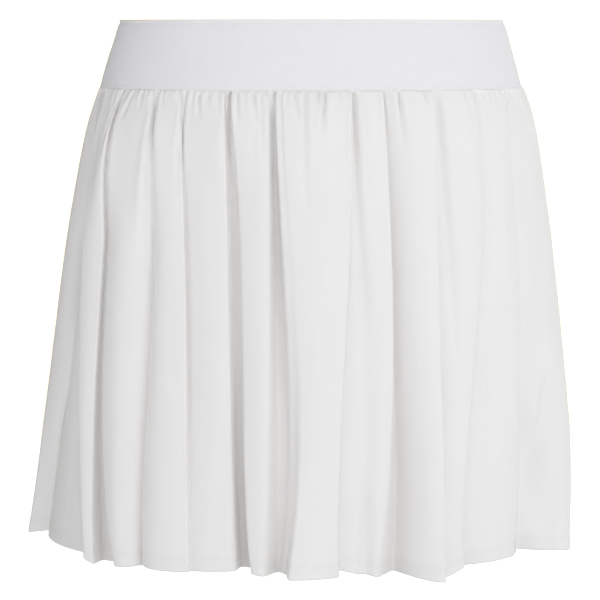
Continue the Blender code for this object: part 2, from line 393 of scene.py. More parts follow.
@dataclass(frozen=True)
class ClothFinish:
    """What every cloth finish shares: its colours, its surface and its two thread directions.

    Both pitches are mm. The across pattern repeats round the body, the down pattern in height.
    """

    name: str
    light_colour: str
    shade_colour: str
    roughness: float
    sheen: float
    sheen_roughness: float
    specular: float
    across_pitch: float
    down_pitch: float
    relief_depth: float
    relief_strength: float
    cloud_size: float
    streak_stretch: float
    cloud_detail: float = 3.0
    thread_wander: float = 0.4

    def material(self) -> bpy.types.Material:
        """Return the finish as a material: soft clouds of colour over a raised thread pattern."""
        made, shader = new_material(self.name, {
            "Roughness": self.roughness, "Sheen Weight": self.sheen,
            "Sheen Roughness": self.sheen_roughness, "Specular IOR Level": self.specular})
        tree = made.node_tree
        cloth = add_node(tree, "ShaderNodeUVMap", uv_map="cloth").outputs["UV"]
        stretched = add_node(tree, "ShaderNodeMapping", {"Scale": (1.0, self.streak_stretch, 1.0)},
                             {"Vector": cloth}).outputs["Vector"]
        clouds = add_node(tree, "ShaderNodeTexNoise",
                          {"Scale": 1.0 / (self.cloud_size * MM), "Detail": self.cloud_detail},
                          {"Vector": stretched}).outputs["Fac"]
        colour = add_node(tree, "ShaderNodeMix", links={"Factor": clouds}, data_type="RGBA")
        colour.inputs["A"].default_value = linear(self.light_colour)
        colour.inputs["B"].default_value = linear(self.shade_colour)
        tree.links.new(colour.outputs["Result"], shader.inputs["Base Color"])
        across, down = (add_node(tree, "ShaderNodeTexWave",
                                 {"Scale": wave_scale(pitch), "Distortion": self.thread_wander},
                                 {"Vector": cloth}, bands_direction=way).outputs["Fac"]
                        for way, pitch in (("X", self.across_pitch), ("Y", self.down_pitch)))
        crossed = add_node(tree, "ShaderNodeMath", links={0: across, 1: down},
                           operation="MULTIPLY").outputs[0]
        threads = add_node(tree, "ShaderNodeMath", links={0: crossed, 1: clouds},
                           operation="ADD").outputs[0]
        bump = add_node(tree, "ShaderNodeBump",
                        {"Strength": self.relief_strength, "Distance": self.relief_depth * MM},
                        {"Height": threads}).outputs["Normal"]
        tree.links.new(bump, shader.inputs["Normal"])
        return made


# Polyester and elastane skirt cloth, a fine plain weave with a matt face. The real threads are
# 0.25 mm apart, too fine to show, so they are drawn at 0.8 mm: the eye gets a quiet even tooth,
# with faint upright streaks from uneven threads, and no shine.
WOVEN_SKIRT_CLOTH = ClothFinish(
    name="woven_polyester_skirt_cloth", light_colour="#EDEBE9", shade_colour="#E8E6E4",
    roughness=0.85, sheen=0.06, sheen_roughness=0.5, specular=0.25, across_pitch=0.8,
    down_pitch=0.8, relief_depth=0.04, relief_strength=0.35, cloud_size=9.0, streak_stretch=0.15)

# Plush woven elastic, 50 mm wide: polyester over rubber cores, so it is a little greyer than the
# skirt, and fine ribs run round the body. The real ribs are 0.6 mm apart and are drawn at 1.1 mm:
# the eye gets a dense, matt, slightly grainy face.
WOVEN_ELASTIC = ClothFinish(
    name="woven_elastic_band", light_colour="#E9E7E8", shade_colour="#E5E3E4",
    roughness=0.86, sheen=0.15, sheen_roughness=0.5, specular=0.2, across_pitch=1.6,
    down_pitch=1.1, relief_depth=0.06, relief_strength=0.4, cloud_size=6.0, streak_stretch=1.0)

# Fine jersey knit of the inner shorts: smooth upright wales, 0.7 mm apart for real and drawn at
# 0.9 mm, with a slight sheen from the filament yarn.
JERSEY_KNIT = ClothFinish(
    name="jersey_shorts_knit", light_colour="#ECECEC", shade_colour="#E7E7E8",
    roughness=0.7, sheen=0.2, sheen_roughness=0.4, specular=0.3, across_pitch=0.9,
    down_pitch=1.3, relief_depth=0.06, relief_strength=0.4, cloud_size=8.0, streak_stretch=0.6)


@dataclass(frozen=True)
class ThreadFinish:
    """Spun polyester sewing thread: white, with the soft gleam of a twisted yarn."""

    name: str = "spun_polyester_thread"
    colour: str = "#E2E1E1"
    roughness: float = 0.6
    sheen: float = 0.3
    twist_pitch: float = 0.5
    twist_depth: float = 0.05
    twist_strength: float = 0.3

    def material(self) -> bpy.types.Material:
        """Return the thread's material, with the twist as fine slanting bands."""
        made, shader = new_material(self.name, {
            "Base Color": linear(self.colour), "Roughness": self.roughness,
            "Sheen Weight": self.sheen})
        tree = made.node_tree
        place = add_node(tree, "ShaderNodeTexCoord").outputs["Object"]
        twist = add_node(tree, "ShaderNodeTexWave", {"Scale": wave_scale(self.twist_pitch)},
                         {"Vector": place}, bands_direction="DIAGONAL").outputs["Fac"]
        bump = add_node(tree, "ShaderNodeBump",
                        {"Strength": self.twist_strength, "Distance": self.twist_depth * MM},
                        {"Height": twist}).outputs["Normal"]
        tree.links.new(bump, shader.inputs["Normal"])
        return made


# ---------------------------------------------------------------- stitches


@dataclass(frozen=True)
class StitchRow:
    """A row of machine stitches along a seam, with its sizes in mm."""

    pitch: float = 3.0
    length: float = 2.4
    radius: float = 0.19
    seed: int = 3
    segments: int = 6
    rings: int = 5
    least_size: float = 0.9
    most_size: float = 1.08

    def tree(self) -> bpy.types.NodeTree:
        """Return the Geometry Nodes tree that sets one rounded stitch at each pitch of a path."""
        tree = bpy.data.node_groups.new("machine_stitches", "GeometryNodeTree")
        for name, kind in (("Seam", "Geometry"), ("Pitch", "Float"), ("Length", "Float"),
                           ("Radius", "Float"), ("Seed", "Int"), ("Thread", "Material")):
            tree.interface.new_socket(name, in_out="INPUT", socket_type=f"NodeSocket{kind}")
        tree.interface.new_socket("Stitches", in_out="OUTPUT", socket_type="NodeSocketGeometry")
        node = partial(add_node, tree)
        sizes = node("NodeGroupInput").outputs
        path = node("GeometryNodeMeshToCurve", links={"Mesh": sizes["Seam"]})
        spaced = node("GeometryNodeResampleCurve",
                      links={"Curve": path.outputs["Curve"], "Length": sizes["Pitch"]},
                      mode="LENGTH")
        grain = node("GeometryNodeMeshUVSphere",
                     {"Segments": self.segments, "Rings": self.rings}, {"Radius": sizes["Radius"]})
        half_length = node("ShaderNodeMath", {1: 0.5}, {0: sizes["Length"]},
                           operation="MULTIPLY").outputs[0]
        slender = node("ShaderNodeMath", links={0: half_length, 1: sizes["Radius"]},
                       operation="DIVIDE").outputs[0]
        shape = node("ShaderNodeCombineXYZ", {"X": 1.0, "Y": 1.0}, {"Z": slender})
        stitch = node("GeometryNodeTransform",
                      links={"Geometry": grain.outputs["Mesh"], "Scale": shape.outputs[0]})
        tangent = node("GeometryNodeInputTangent").outputs[0]
        turned = node("FunctionNodeAlignRotationToVector", links={"Vector": tangent}, axis="Z")
        uneven = node("FunctionNodeRandomValue", links={"Seed": sizes["Seed"]}, data_type="FLOAT")
        for socket in uneven.inputs:
            if socket.enabled and socket.name in ("Min", "Max"):
                is_least = socket.name == "Min"
                socket.default_value = self.least_size if is_least else self.most_size
        random_size = next(one for one in uneven.outputs if one.enabled)
        sown = node("GeometryNodeInstanceOnPoints",
                    links={"Points": spaced.outputs["Curve"],
                           "Instance": stitch.outputs["Geometry"],
                           "Rotation": turned.outputs["Rotation"], "Scale": random_size})
        real = node("GeometryNodeRealizeInstances",
                    links={"Geometry": sown.outputs["Instances"]})
        smooth = node("GeometryNodeSetShadeSmooth", links={0: real.outputs["Geometry"]})
        dressed = node("GeometryNodeSetMaterial",
                       links={"Geometry": smooth.outputs[0], "Material": sizes["Thread"]})
        node("NodeGroupOutput", links={0: dressed.outputs["Geometry"]})
        return tree

    def sew(self, name: str, paths: Sequence[np.ndarray], closed: bool,
            thread: bpy.types.Material) -> bpy.types.Object:
        """Sew one piece of stitches along some paths.

        Args:
            name: the piece's name.
            paths: the seams, each as rows of x, y and z in mm.
            closed: whether each path is a closed ring.
            thread: the thread's material.

        Returns:
            The stitches as one plain mesh.
        """
        points, edges = [], []
        for path in paths:
            start, count = len(points), len(path)
            points.extend((path * MM).tolist())
            edges.extend((start + i, start + (i + 1) % count)
                         for i in range(count if closed else count - 1))
        seam = bpy.data.meshes.new(name + "_seam")
        seam.from_pydata(points, edges, [])
        guide = add_object(name + "_seam", seam)
        maker = guide.modifiers.new("stitches", "NODES")
        maker.node_group = self.tree()
        sizes = {"Pitch": self.pitch * MM, "Length": self.length * MM,
                 "Radius": self.radius * MM, "Seed": self.seed, "Thread": thread}
        for item in maker.node_group.interface.items_tree:
            if item.in_out == "INPUT" and item.name in sizes:
                maker[item.identifier] = sizes[item.name]
        made = guide.evaluated_get(bpy.context.evaluated_depsgraph_get())
        mesh = bpy.data.meshes.new_from_object(made)
        mesh.name = name
        bpy.data.objects.remove(guide, do_unlink=True)
        return add_object(name, mesh)


def ride_on_body(piece: bpy.types.Object, slot: str, *nodes: str) -> None:
    """Fix a finished piece to the body and report it.

    Args:
        piece: the piece.
        slot: the record's material slot; not used.
        *nodes: the CAD nodes that it stands for.
    """
    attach(piece, BODY)
    if nodes:
        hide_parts(*nodes)
    LOG.info("%s: %d vertices", piece.name, len(piece.data.vertices))


# ---------------------------------------------------------------- hems


@dataclass(frozen=True)
class Hem:
    """A hem turned up inside and held by two rows of stitches, with its sizes in mm.

    The doubled cloth stands proud, with a groove along each stitch row. turned_gap is how far
    behind the cloth's surface the turning lies, fold_drop how far the folded edge hangs below
    the last row, and stitch_out how far outside the surface the stitches lie. That surface is
    the middle of the skirt's cloth, and the outer face of the shorts'.
    """

    width: float
    stitch_heights: tuple[float, float]
    proud: float
    groove: float
    groove_width: float
    turned_gap: float
    fold_drop: float
    stitch_out: float
    step_sharpness: float = 2.0

    def relief(self, above: np.ndarray) -> np.ndarray:
        """Return how far (mm) the cloth stands proud.

        Args:
            above: heights above the hem's edge (mm).

        Returns:
            One distance for each height.
        """
        proud = self.proud / (1.0 + np.exp((above - self.width) * self.step_sharpness))
        for height in self.stitch_heights:
            proud = proud - self.groove * np.exp(-(((above - height) / self.groove_width) ** 2))
        return proud

    def turned(self, grid: ClothGrid, above: Sequence[float]) -> ClothGrid:
        """Return the cloth with its hem turned up inside, as one sheet.

        Args:
            grid: the cloth's surface, down to the hem's edge.
            above: how far each of its rows lies above that edge.

        Returns:
            The surface, with the turning's rows after the outer ones.
        """
        normal = grid.normals()
        rows = [index for index, height in enumerate(above) if height <= self.width]
        edge = grid.points[-1] - np.array([0.0, 0.0, self.fold_drop])
        edge = edge - normal[-1] * self.turned_gap / 2.0
        inside = grid.points[rows] - normal[rows] * self.turned_gap
        return ClothGrid(np.concatenate([grid.points, edge[None], inside[::-1]]), grid.closed)

    def seams(self, grid: ClothGrid, above: np.ndarray) -> list[np.ndarray]:
        """Return the two stitch lines, just outside the cloth.

        Args:
            grid: the cloth's surface.
            above: how far each of its rows lies above the hem's edge.

        Returns:
            The lines, as rows of points.
        """
        normal = grid.normals()
        rows = [int(np.argmin(np.abs(above - height))) for height in self.stitch_heights]
        return [grid.points[row] + normal[row] * self.stitch_out for row in rows]


# ---------------------------------------------------------------- skirt


class Side(Enum):
    """The side of a fold on which the cloth lies outermost."""

    LEFT = 1
    RIGHT = -1


@dataclass(frozen=True)
class Fold:
    """One fold of the skirt.

    top to hem are the edge's angles at four heights. turn is how far round from the edge the
    crease behind it lies; where it goes back under the edge, the cloth overlaps. rise and sink
    are how far the edge and the crease stand out (mm), soft is the rounding of the edge (mm),
    drop lowers the hem (mm), and ease bends the cloth that runs on from the fold: above 1 it
    leaves a crease steeply and then lies flat. crisp is the share of the rounding left at the
    hem, early is how far higher (mm) than in the other folds the hem's shape sets in, bulge is
    how far (mm) the cloth to the fold's right swells outwards, and lift is how far (mm) the
    crease's hem hangs above the edge's.
    """

    name: str
    proud: Side
    top: float
    upper: float
    lower: float
    hem: float
    turn_mid: float
    turn_hem: float
    rise_mid: float
    rise_hem: float
    sink_mid: float
    sink_hem: float
    soft: float
    drop: float
    ease: float = 1.0
    crisp: float = 1.0
    early: float = 0.0
    bulge: float = 0.0
    lift: float = 0.0

    def turned_round(self, turns: int) -> "Fold":
        """Return the fold with its angles moved round the body.

        Args:
            turns: by how many whole turns, above 0 towards +X.

        Returns:
            The same fold there.
        """
        full = 360.0 * turns
        return replace(self, top=self.top + full, upper=self.upper + full,
                       lower=self.lower + full, hem=self.hem + full)


LEFT, RIGHT = Side.LEFT, Side.RIGHT
# The heights (mm) at which a fold's four angles are given.
FOLD_ANCHORS = (-30.0, -110.0, -225.0, HEM_Z)
# How far round (degrees) a fold's crease lies from its edge up in the gathers.
GATHER_TURN = -0.3
# How deep the cloth is pinched in where a fold enters the waist seam, the height where that
# starts, and over how much height it grows (mm).
HEAD_PINCH = 2.0
PINCH_FROM = -23.3
PINCH_RUN = 2.2

FRONT_FOLDS = (
    Fold("side_left", LEFT, -86, -81.5, -84, -89.5, 13, 3, 0.5, 5, -5, -12, 3, 4, lift=3),
    Fold("blade_foot", RIGHT, -68.2, -62.1, -55.6, -47.8, -0.6, -2.2, 9, 9, -5, -4, 1.4, -1),
    Fold("blade", LEFT, -59.2, -53.6, -50.4, -45, -1, -1.3, 6.5, 8, 1, -6, 1.3, 2),
    Fold("left_panel", RIGHT, -58.2, -52.1, -48.4, -39.4, -0.4, -0.6, 5, 8, 1, -6.5, 2, 1,
         bulge=2.5),
    Fold("soft_dip", LEFT, -44.9, -39.8, -38.1, -34.8, 1.2, 0.8, 3, 5, -5.5, -2.2, 3, 0, 6,
         crisp=0.4),
    Fold("left_knife", LEFT, -35.5, -29.7, -26, -22.2, -0.4, 0.1, 3, 7, -2.5, 2.5, 1.2, 0, 1.6),
    Fold("deep_left", LEFT, -22.6, -18.9, -16.4, -12.8, 0.1, 0.2, 1.8, 1, -11, -14, 1.2, -1.2,
         crisp=3.0, early=12, bulge=-2),
    Fold("deep_right", RIGHT, -21, -16.1, -13.7, -9.7, -0.8, 0.2, -3.5, 3, -8, -13.5, 2, 0,
         early=12),
    Fold("tip_left", LEFT, -10.7, -9, -8, -6.9, 1.0, 1.9, 2.5, 6, -12.5, -9, 4, 1, bulge=-2),
    Fold("tip_right", RIGHT, -9.1, -6.1, -3.8, -3.7, -0.9, -0.3, -1, -6, -11.5, -8.5, 2, 1,
         early=50, bulge=-2),
    Fold("centre_tip", RIGHT, -7.4, -4.0, -1.6, -2.3, -1, -0.5, 2.3, 11, 0.5, -5.5, 2, 2),
    Fold("centre_step", LEFT, 9.9, 9.8, 7.4, 7.8, -0.3, -0.2, 3, 3.6, 0.8, 1.8, 2.0, 2, 2,
         lift=5),
    Fold("faint_knife", LEFT, 18.5, 19.1, 17.9, 15.3, 0.9, 5, 3.4, 6, -10, -14, 1.8, 2.5, 2,
         crisp=1.8),
    Fold("right_knife", LEFT, 32.7, 30.8, 28.6, 28, 0.4, -0.2, 5.5, 20, 0, 12, 2, 5.5, 1.6),
    Fold("second_knife", LEFT, 47, 44.4, 36.8, 34.6, -0.2, 0.4, 4.5, 5, 0.5, -3, 1.6, 1, 1.6),
    Fold("outer_knife", LEFT, 60.5, 57.3, 52.8, 49.8, -0.5, 7, 3, 0, 0.5, -13, 1.5, 0),
    Fold("side_right", LEFT, 88, 80, 73.5, 67.5, 11, 12, 7, 14, -5, -8, 6, 3),
)
BACK_FOLDS = tuple(Fold(f"back_{number}", *row) for number, row in enumerate((
    (LEFT, 101, 100, 101, 103, 3, 4, 4, 8, -3, -6, 5, 0),
    (LEFT, 113, 112, 113, 116, 1, 1.5, 5, 12, -1, -4, 2, 1),
    (RIGHT, 128, 127, 127, 125, -2, -2, 4, 9, -3, -7, 3, 0),
    (LEFT, 138, 138, 139, 140, 1, 1, 5, 13, 0, 2, 2, 1),
    (LEFT, 150, 149, 148, 149, 1, 2, 4, 8, -3, -9, 2, 0),
    (RIGHT, 160, 161, 162, 160, -2, -3, 5, 11, -4, -10, 3, 1),
    (LEFT, 171, 171, 172, 174, 0.8, 1, 4, 12, -2, -3, 2, 2),
    (LEFT, 182, 182, 181, 180, 1, 2, 5, 9, -2, -8, 4, 0),
    (RIGHT, 193, 192, 193, 195, -1, -2, 4, 10, -3, -6, 2, 1),
    (LEFT, 204, 204, 204, 203, 1, 1, 6, 14, -1, 0, 2, 3),
    (RIGHT, 216, 215, 214, 215, -2, -3, 4, 8, -4, -9, 4, 0),
    (LEFT, 227, 227, 228, 230, 1, 2, 5, 12, -1, -4, 2, 1),
    (RIGHT, 241, 242, 243, 241, -2, -3, 4, 10, -3, -7, 3, 0),
    (LEFT, 253, 254, 255, 256, 2, 3, 4, 9, -3, -6, 5, 1),
), start=1))

# The skirt's middle surface, from inside the waistband down to the hem.
SKIRT_RINGS = RingTable((
    Ring(LAP_TOP, 141.0, 101.2, 104.4, 0, 0.03, 0.0),
    Ring(-22.9, 144.7, 103.9, 107.4, 0, 0.05, 0.0),
    Ring(-23.5, 147.4, 106.9, 110.8, 0, 0.08, 0.0),
    Ring(-24.6, 148.0, 107.9, 111.9, 0, 0.10, 0.0),
    Ring(-30, 149.9, 109.6, 113.6, -0.2, 0.20, 0.0),
    Ring(-50, 154.8, 114.4, 121.0, -1.2, 0.50, 0.0),
    Ring(-90, 161.4, 120.5, 129.8, -2.4, 0.78, 0.0),
    Ring(-145, 169.7, 128.5, 138.5, -2.9, 0.95, 0.0),
    Ring(-210, 178.0, 136.0, 145.0, -2.9, 0.87, 0.13),
    Ring(-275, 184.8, 142.5, 149.0, -4.0, 0.48, 0.52),
    Ring(HEM_Z, 189.3, 148.0, 152.0, -7.8, 0.0, 1.0),
))

# The main creases of the front, placed one by one: gathers that start in the waist seam, then the
# long slanting ones between the folds, then the soft dents low on the right.
FRONT_CREASES = (
    *gathers(-23.0, (
        (-73, -70.1, -66, -3, 1.6), (-69, -66.0, -90, -3, 1.4), (-63.5, -60.0, -38, -2.6, 1.3),
        (-60, -58.3, -70, -3, 1.5), (-55.8, -56.3, -33, -1.2, 1.1), (-53.2, -54.4, -45, -3.6, 1.2),
        (-49.9, -48.7, -36, -2.6, 1.2), (-45.9, -44.5, -38, -2.6, 1.2),
        (-43.9, -38.2, -170, -4.0, 1.8), (-42.2, -40.9, -34, -1.6, 1.1), (-40, -39.9, -31, -0.8, 1),
        (-37.2, -35.0, -34, -2.3, 1.3), (-34.6, -32.3, -90, -3.5, 1.2),
        (-32.3, -31.8, -35, -2.2, 1.1), (-30.5, -29.0, -44, -2.9, 1.1),
        (-27.8, -27.3, -34, -1.4, 1.2), (-25.4, -23.0, -38, -2, 1.2), (-21.6, -20.4, -80, -4, 1.4),
        (-19.3, -18.3, -46, -3.2, 1), (-18, -17.7, -32, -1.8, 1), (-15.5, -12.5, -50, -2.9, 1.4),
        (-12.8, -10.7, -80, -2.2, 1), (-11.8, -9.9, -41, -3.2, 1.1), (-9.7, -8.7, -60, -2.5, 1.2),
        (-8.1, -7.9, -33, -2.2, 1.1), (-6.3, -6.2, -32, -2, 1.1), (-4.6, -1.9, -52, -2.5, 1.3),
        (-1.7, -0.4, -105, -2.8, 1.5), (1.6, 1.6, -35, -3.5, 1.1), (3.4, 2.9, -54, -4.4, 1.1),
        (6.9, 7.2, -32, -2.2, 1.1), (8.6, 9.7, -37, -2.5, 1.2), (10.8, 12.6, -180, -6, 1.6),
        (12.3, 12.4, -30, -1.7, 1), (18.9, 19.2, -60, -2.8, 0.9), (20.1, 20.8, -35, -2.5, 1.1),
        (23, 23.6, -60, -4.4, 1.2), (30.3, 30.5, -36, -2.7, 1.1), (32.8, 32.8, -34, -1.9, 1),
        (34.4, 33.2, -240, -4, 2.2), (43.4, 44.1, -36, -2.2, 1.1), (47.6, 47.5, -33, -2.1, 1),
        (51, 51.7, -34, -1.6, 1.2), (63.8, 61.8, -56, -2.4, 1.2), (67.2, 67.8, -33, -1.6, 1.1),
        (70.5, 79.9, -110, -2.8, 1.6),
    )),
    *gathers(-24.0, ((13.5, 16.0, -62, 1.2, 1.8), (47.5, 51.8, -62, 1.2, 1.8))),
    *soft_creases((
        (-57.5, -24, -54.0, -125, 6.0, 8.0), (-42.5, -25, -38.5, -125, 4.0, 6.0),
        (-70, -80, -72.5, -260, -5.5, 2.4), (-72, -205, -84.5, -355, -5.5, 2.4),
        (-27, -40, -26.5, -110, -0.9, 5.0), (-24, -60, -22, -150, -0.7, 5.0),
        (-13.5, -40, -12.5, -95, -0.8, 4.0), (12.5, -85, 12.2, -400, -3.5, 3.6),
        (11.6, -265, 14.4, -400, -4.5, 2.6), (46.5, -60, 48, -150, -0.8, 5.0),
        (60, -90, 60, -230, 0.7, 7.0), (59, -180, 66, -250, -4.6, 8.0),
        (52, -200, 62, -245, -2.0, 8.0), (68, -215, 58, -280, -6.5, 5.0),
        (51, -232, 58, -266, -3.0, 4.0), (43, -210, 47.5, -250, -3.5, 5.0),
        (55, -225, 63, -340, -8.0, 8.0), (8, -150, 10, -320, -0.9, 6.0),
        (-31, -120, -29, -250, -0.6, 6.0), (-45, -200, -43, -330, -0.8, 6.0),
        (22, -180, 21, -320, -1.0, 6.0),
    )),
)

# The back hangs as the front does.
BACK_CREASES = (
    *gathers(-26.0, (
        (96, 98, -64, -2.3, 1.6), (107, 106, -58, -2.1, 1.4), (119, 122, -80, -2.3, 1.7),
        (133, 131, -56, -2.4, 1.3), (144, 147, -74, -2.1, 1.6), (155, 154, -50, -2.3, 1.2),
        (166, 169, -86, -2.3, 1.6), (176, 175, -54, -2.1, 1.2), (187, 190, -72, -2.4, 1.4),
        (198, 197, -48, -2.1, 1.2), (210, 206, -88, -2.3, 1.7), (221, 222, -58, -2.1, 1.3),
        (234, 231, -70, -2.3, 1.6), (247, 246, -60, -2.1, 1.4), (258, 256, -52, -2.1, 1.4),
    )),
    *soft_creases((
        (107, -70, 110, -190, -1.2, 5.0), (121, -80, 124, -200, -1.3, 5.0),
        (145, -60, 147, -170, -1.0, 4.5), (165, -70, 162, -190, -1.1, 5.0),
        (187, -80, 190, -210, -1.2, 5.0), (209, -60, 206, -160, -1.1, 5.0),
        (235, -70, 237, -190, -1.2, 5.0), (150, -205, 142, -275, -1.3, 8.0),
        (200, -215, 209, -290, -1.2, 8.0), (246, -190, 240, -260, -1.1, 8.0),
    )),
)


@dataclass(frozen=True)
class SmallCreases:
    """The small puckers and faint dents that lie scattered over a panel, with sizes in mm.

    Each pair is the least and the most of a random draw. Leans are in degrees.
    """

    seed: int
    first_angle: float
    last_angle: float
    seam_z: float = -23.0
    pucker_spacing: float = 2.1
    spacing_share: tuple[float, float] = (0.6, 1.5)
    pucker_lean: tuple[float, float] = (-1.2, 1.2)
    pucker_length: tuple[float, float] = (6.0, 14.0)
    pucker_depth: tuple[float, float] = (0.3, 1.1)
    pucker_width: tuple[float, float] = (0.9, 1.4)
    dents: int = 90
    dent_top: tuple[float, float] = (-300.0, -50.0)
    dent_length: tuple[float, float] = (30.0, 90.0)
    dent_lean: tuple[float, float] = (-2.0, 2.0)
    dent_depth: tuple[float, float] = (-0.35, 0.35)
    dent_width: tuple[float, float] = (4.0, 9.0)

    def all(self) -> list[Crease]:
        """Return the puckers along the waist seam and the dents of the open cloth."""
        draw = np.random.default_rng(self.seed).uniform
        made = []
        angle = self.first_angle
        while angle < self.last_angle:
            foot_angle = angle + draw(*self.pucker_lean)
            foot_z = self.seam_z - draw(*self.pucker_length)
            made.append(Crease(angle, self.seam_z, foot_angle, foot_z,
                               -draw(*self.pucker_depth), draw(*self.pucker_width), True))
            angle += self.pucker_spacing * draw(*self.spacing_share)
        for _ in range(self.dents):
            angle = draw(self.first_angle, self.last_angle)
            top = draw(*self.dent_top)
            foot_z = max(top - draw(*self.dent_length), HEM_Z)
            made.append(Crease(angle, top, angle + draw(*self.dent_lean), foot_z,
                               draw(*self.dent_depth), draw(*self.dent_width)))
        return made


@dataclass(frozen=True)
class Station:
    """A place on the skirt's section: its angle, how far out it lies, and its rounding (mm)."""

    degrees: float
    out: float
    drop: float
    soft: float
    ease: float
    bulge: float = 0.0


# A row of the skirt: its points (x, y, z), their angles, and the ring's normals there.
Row = tuple[np.ndarray, np.ndarray, np.ndarray]


@dataclass(frozen=True)
class Panel:
    """One panel of the skirt, cut from side seam to side seam, with its sizes in mm.

    Points lie sample_spacing apart between the folds, with edge_points more round each corner
    and return_points on the cloth that goes back behind a fold. A corner's rounding takes at
    most corner_share of the cloth on each side. Cloth between two folds swells out by belly once
    it is full_width wide.
    """

    name: str
    node: str
    folds: tuple[Fold, ...]
    fold_before: Fold
    fold_after: Fold
    creases: tuple[Crease, ...]
    sample_spacing: float = 1.22
    fewest_points: int = 5
    fewest_at_seam: int = 3
    edge_points: int = 3
    return_points: int = 3
    corner_share: float = 0.45
    belly: float = 2.0
    full_width: float = 28.0

    def all_folds(self) -> tuple[Fold, ...]:
        """Return the panel's folds with the next panels' nearest ones."""
        return (self.fold_before, *self.folds, self.fold_after)

    def fold_angle(self, fold: Fold, z: float) -> float:
        """Return the edge's angle at a height, on the cubic through its four anchor angles.

        Args:
            fold: the fold.
            z: the height (mm).

        Returns:
            The angle in degrees.
        """
        total = 0.0
        for place, value in zip(FOLD_ANCHORS, (fold.top, fold.upper, fold.lower, fold.hem)):
            weight = 1.0
            for other in FOLD_ANCHORS:
                if other != place:
                    weight *= (z - other) / (place - other)
            total += weight * value
        return total

    def stations(self, fold: Fold, ring: Ring) -> tuple[Station, Station]:
        """Return the fold's edge and crease at one height.

        Args:
            fold: the fold.
            ring: the ring at that height.

        Returns:
            The two stations, in their order round the body.
        """
        degrees = self.fold_angle(fold, max(min(ring.z, FOLD_ANCHORS[0]), HEM_Z))
        open_share = ring.mid_share + ring.hem_share
        lower = SKIRT_RINGS.at(ring.z - fold.early)
        hem = open_share * lower.hem_share / (lower.mid_share + lower.hem_share)
        mid = open_share - hem
        rise = mid * fold.rise_mid + hem * fold.rise_hem
        sink = mid * fold.sink_mid + hem * fold.sink_hem
        pinch = min(max((PINCH_FROM - ring.z) / PINCH_RUN, 0.0), 1.0)
        sink -= HEAD_PINCH * (1.0 - open_share) * pinch
        turn = (mid * fold.turn_mid + hem * fold.turn_hem
                + (1.0 - open_share) * GATHER_TURN * fold.proud.value)
        drop = fold.drop * ring.hem_share
        lifted = drop - fold.lift * ring.hem_share
        soft = fold.soft * (1.0 + (fold.crisp - 1.0) * hem)
        edge = Station(degrees, rise, drop, soft, 1.0, fold.bulge)
        crease = Station(degrees + turn, sink, lifted, soft, fold.ease, fold.bulge)
        return (edge, crease) if fold.proud is Side.LEFT else (crease, edge)

    def panel_counts(self) -> list[int]:
        """Return how many points the cloth between each two folds takes."""
        folds = self.all_folds()
        counts = []
        for first, second in zip(folds, folds[1:]):
            wide = max(second.top - first.top, second.hem - first.hem) * MM_PER_DEGREE
            counts.append(max(self.fewest_points, round(wide / self.sample_spacing)))
        for end in (0, -1):
            counts[end] = max(self.fewest_at_seam, counts[end] // 2)
        return counts

    def section(self, ring: Ring, counts: list[int]) -> Row:
        """Return one row of the panel at a ring's height.

        Args:
            ring: the ring that the row follows.
            counts: how many points lie between each two folds.

        Returns:
            The row.
        """
        pairs = [self.stations(fold, ring) for fold in self.all_folds()]
        stops = [self._half_way(pairs[0][1], pairs[1][0])]
        for pair in pairs[1:-1]:
            stops.extend(pair)
        stops.append(self._half_way(pairs[-2][1], pairs[-1][0]))
        runs = []
        for index, (start, end) in enumerate(zip(stops, stops[1:])):
            is_panel = index % 2 == 0
            count = counts[index // 2] if is_panel else self.return_points
            runs.append(self._stretch(ring, start, end, count, is_panel))
        parts = runs[:1]
        for before, stop, after in zip(runs, stops[1:], runs[1:]):
            parts += [self._corner(ring, before, stop, after), after]
        return tuple(np.concatenate(kind) for kind in zip(*parts))

    @staticmethod
    def _half_way(first: Station, second: Station) -> Station:
        """Return the station half way between two stations, where a side seam lies."""
        return Station((first.degrees + second.degrees) / 2.0, (first.out + second.out) / 2.0,
                       (first.drop + second.drop) / 2.0, 0.0, 1.0)

    @staticmethod
    def _placed(ring: Ring, degrees: np.ndarray, out: np.ndarray, drop: np.ndarray) -> Row:
        """Return points that stand out from the ring and hang below it.

        Args:
            ring: the ring.
            degrees: the points' angles.
            out: how far (mm) each stands out.
            drop: how far (mm) each hangs lower.

        Returns:
            The row.
        """
        flat, normal = ring.place(degrees, out)
        height = ring.z - drop - waist_dip(degrees, ring.z)
        return np.column_stack([flat, height]), degrees, normal

    def _stretch(self, ring: Ring, start: Station, end: Station, count: int,
                 is_panel: bool) -> Row:
        """Return the points of the cloth between two corners, without the corners' rounding.

        Args:
            ring: the ring that the row follows.
            start: the corner on the left.
            end: the corner on the right.
            count: how many points it takes.
            is_panel: whether it lies between two folds, and not behind one.

        Returns:
            That part of the row.
        """
        ends = np.array([start.degrees, end.degrees])
        flat, _ = ring.place(ends, np.array([start.out, end.out]))
        length = max(float(np.linalg.norm(flat[1] - flat[0])), 1e-6)
        rounding, rounding_end = (min(one.soft, self.corner_share * length) / length
                                  for one in (start, end))
        t = np.linspace(rounding, 1.0 - rounding_end, count)
        bent = t
        if is_panel and start.ease > 1.0:
            bent = 1.0 - (1.0 - t) ** start.ease
        elif is_panel and end.ease > 1.0:
            bent = t ** end.ease
        out = start.out + (end.out - start.out) * bent
        if is_panel:
            swell = (self.belly + start.bulge) * min(length / self.full_width, 1.0)
            out = out + swell * (ring.mid_share + ring.hem_share) * np.sin(np.pi * t)
        degrees = start.degrees + (end.degrees - start.degrees) * t
        return self._placed(ring, degrees, out, start.drop + (end.drop - start.drop) * t)

